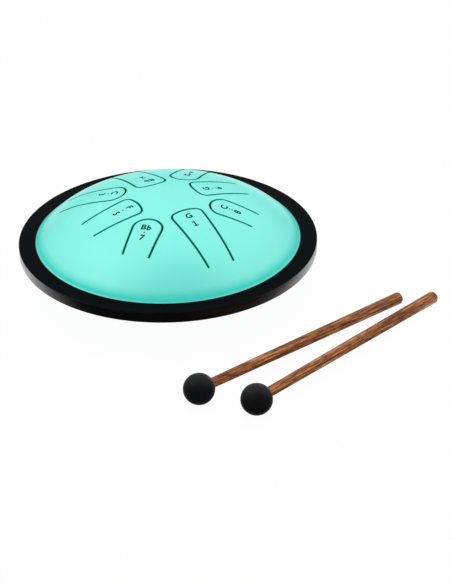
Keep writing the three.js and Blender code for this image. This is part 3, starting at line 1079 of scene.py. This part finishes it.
# %% [markdown]
# A mallet is a rubber ball on a wooden stick. Each is made standing up, with the middle of its ball
# at the origin, because a spun shape is easiest to draw there. Then it is laid on the floor so that
# the ball and the end of the stick both touch it.

# %% Lay out the mallets
HEAD_RADIUS = 8.7 * MM
BUTT_RADIUS = 3.6 * MM
MALLET_REACH = 155 * MM
# Each mallet's heading in degrees, and in mm its line's distance from the ring, and how far its head
# lies back along that line from the point nearest to the drum
MALLETS = {1: (40.4, 24.7, 71.6), 2: (45.8, 46.3, 67.9)}


def mallet_place(number):
    """The place and turn that lay a mallet on the floor beside the drum."""
    heading, standoff, setback = MALLETS[number]
    yaw = math.radians(heading)
    away = RING_RADIUS + standoff * MM
    x = DRUM_MIDDLE.x + away * math.sin(yaw) - setback * MM * math.cos(yaw)
    y = DRUM_MIDDLE.y - away * math.cos(yaw) - setback * MM * math.sin(yaw)
    tilt = math.asin((HEAD_RADIUS - BUTT_RADIUS) / MALLET_REACH)
    lay_down = Matrix.Rotation(yaw, 4, "Z") @ Matrix.Rotation(math.pi / 2 + tilt, 4, "Y")
    return Matrix.Translation((x, y, HEAD_RADIUS)) @ lay_down


print("mallet heads at", [[round(c / MM, 1) for c in mallet_place(n).translation] for n in MALLETS])

# %% [markdown]
# The balls are matt black rubber, a little greyer than the ring, with a soft sheen at their edges.
# A ball is a half circle spun round the stick's axis. The hole for the stick is drawn as part of the
# same section, so no boolean is needed, and its mouth is rounded.

# %% Mould the mallet heads
NECK_RADIUS = 2.8 * MM
BORE_DEPTH = 10 * MM
BORE_SLACK = 0.06 * MM
MOUTH_ROUNDING = 0.4 * MM
HEAD_STEPS = 72
PROFILE_STEPS = 40
bore_radius = NECK_RADIUS + BORE_SLACK
bore_floor = HEAD_RADIUS - BORE_DEPTH
mouth_angle = math.acos(bore_radius / HEAD_RADIUS)
mouth_level = HEAD_RADIUS * math.sin(mouth_angle)
head_rubber = rubber_finish("head_rubber", dark=(10, 11, 14), light=(16, 17, 20),
                            roughness=0.55, tooth=0.012 * MM, gloss=0.22)
head_sheen = head_rubber.node_tree.nodes["Principled BSDF"].inputs
head_sheen["Sheen Weight"].default_value = 0.35
head_sheen["Sheen Roughness"].default_value = 0.3

for number in MALLETS:
    head_shape = draw_section([(0, bore_floor), (bore_radius, bore_floor), (bore_radius, mouth_level)])
    mouth = max(head_shape.verts, key=lambda vert: vert.co.z)
    bmesh.ops.spin(head_shape, geom=[mouth], cent=(0, 0, 0), axis=(0, 1, 0),
                   angle=mouth_angle + math.pi / 2, steps=PROFILE_STEPS)
    spin_round(head_shape, HEAD_STEPS)
    round_edges(head_shape, bore_radius, mouth_level, MOUTH_ROUNDING)
    bmesh.ops.transform(head_shape, matrix=mallet_place(number), verts=head_shape.verts[:])
    head = into_piece(head_shape, f"mallet_ball_{number}", [head_rubber])
    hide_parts(f"mallet_{number}_head")
    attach(head, f"mallet_{number}")

# %% [markdown]
# The sticks are a reddish brown hardwood with fine dark streaks and flecks along the grain, and
# finer pores. Wood grain runs along the stick, so the pattern reads an attribute that keeps each
# point's place on the stick before it was laid down. Noise that is stretched along the stick then
# makes the streaks.

# %% Mix the stick's wood
GRAIN = "place_on_stick"
PORE_DEPTH = 0.02 * MM


def add_grain(tree, place, across, along, detail):
    """Noise with its waves per metre across and along the stick set apart."""
    stretch = add_node(tree, "ShaderNodeMapping", {"Vector": place, "Scale": (across, across, along)})
    return add_noise(tree, stretch.outputs["Vector"], 1.0, detail)


stick_wood, tree, shader, place = new_finish("stick_wood")
on_stick = add_node(tree, "ShaderNodeAttribute", attribute_name=GRAIN).outputs["Vector"]
band_grain = add_grain(tree, on_stick, across=850, along=30, detail=2.0)
bands = add_colours(tree, band_grain, (0.35, (134, 70, 29)), (0.5, (170, 101, 52)), (0.65, (212, 148, 90)))
dark_grain = add_grain(tree, on_stick, across=1500, along=60, detail=2.0)
dark = add_colours(tree, dark_grain, (0.3, (44, 18, 8)), (0.7, (78, 38, 17)))
streak_grain = add_grain(tree, on_stick, across=1150, along=80, detail=1.0)
streaks = add_range(tree, streak_grain, 0.48, 0.58, 0.0, 0.6)
fleck_grain = add_grain(tree, on_stick, across=1700, along=190, detail=1.0)
flecks = add_range(tree, fleck_grain, 0.55, 0.6, 0.0, 0.65)
pore_grain = add_grain(tree, on_stick, across=3600, along=240, detail=2.0)
pores = add_range(tree, pore_grain, 0.58, 0.7, 0.0, 0.7)
wood_tone = bands
for marking in (streaks, flecks, pores):
    wood_tone = mix_colours(tree, marking, wood_tone, dark)
tree.links.new(wood_tone, shader.inputs["Base Color"])
tree.links.new(add_range(tree, streaks, 0.0, 1.0, 0.5, 0.62), shader.inputs["Roughness"])
tree.links.new(add_relief(tree, pores, -PORE_DEPTH), shader.inputs["Normal"])
shader.inputs["Specular IOR Level"].default_value = 0.3
print("wood has", len(tree.nodes), "nodes")

# %% [markdown]
# A stick is a straight run from inside the ball, thickening slightly to a butt with rounded
# corners. It is turned on a lathe, so here it is a spun section, with the butt's corner bevelled.
# Each stick is cut from its own stretch of the wood, so the two don't have the same grain.

# %% Turn the sticks
BUTT_ROUNDING = 1.5 * MM
STICK_STEPS = 48
SPARE_WOOD = 0.4
END_GAP = 0.1 * MM
stick_foot = bore_floor + END_GAP

for number in MALLETS:
    stick_shape = draw_section([(0, stick_foot), (NECK_RADIUS, stick_foot), (NECK_RADIUS, HEAD_RADIUS),
                                (BUTT_RADIUS, MALLET_REACH), (0, MALLET_REACH)])
    spin_round(stick_shape, STICK_STEPS)
    round_edges(stick_shape, BUTT_RADIUS, MALLET_REACH, BUTT_ROUNDING, 6)
    grain_layer = stick_shape.verts.layers.float_vector.new(GRAIN)
    for vert in stick_shape.verts:
        vert[grain_layer] = vert.co + Vector((0, 0, number * SPARE_WOOD))
    bmesh.ops.transform(stick_shape, matrix=mallet_place(number), verts=stick_shape.verts[:])
    stick = into_piece(stick_shape, f"mallet_stick_{number}", [stick_wood])
    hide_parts(f"mallet_{number}_handle")
    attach(stick, f"mallet_{number}")
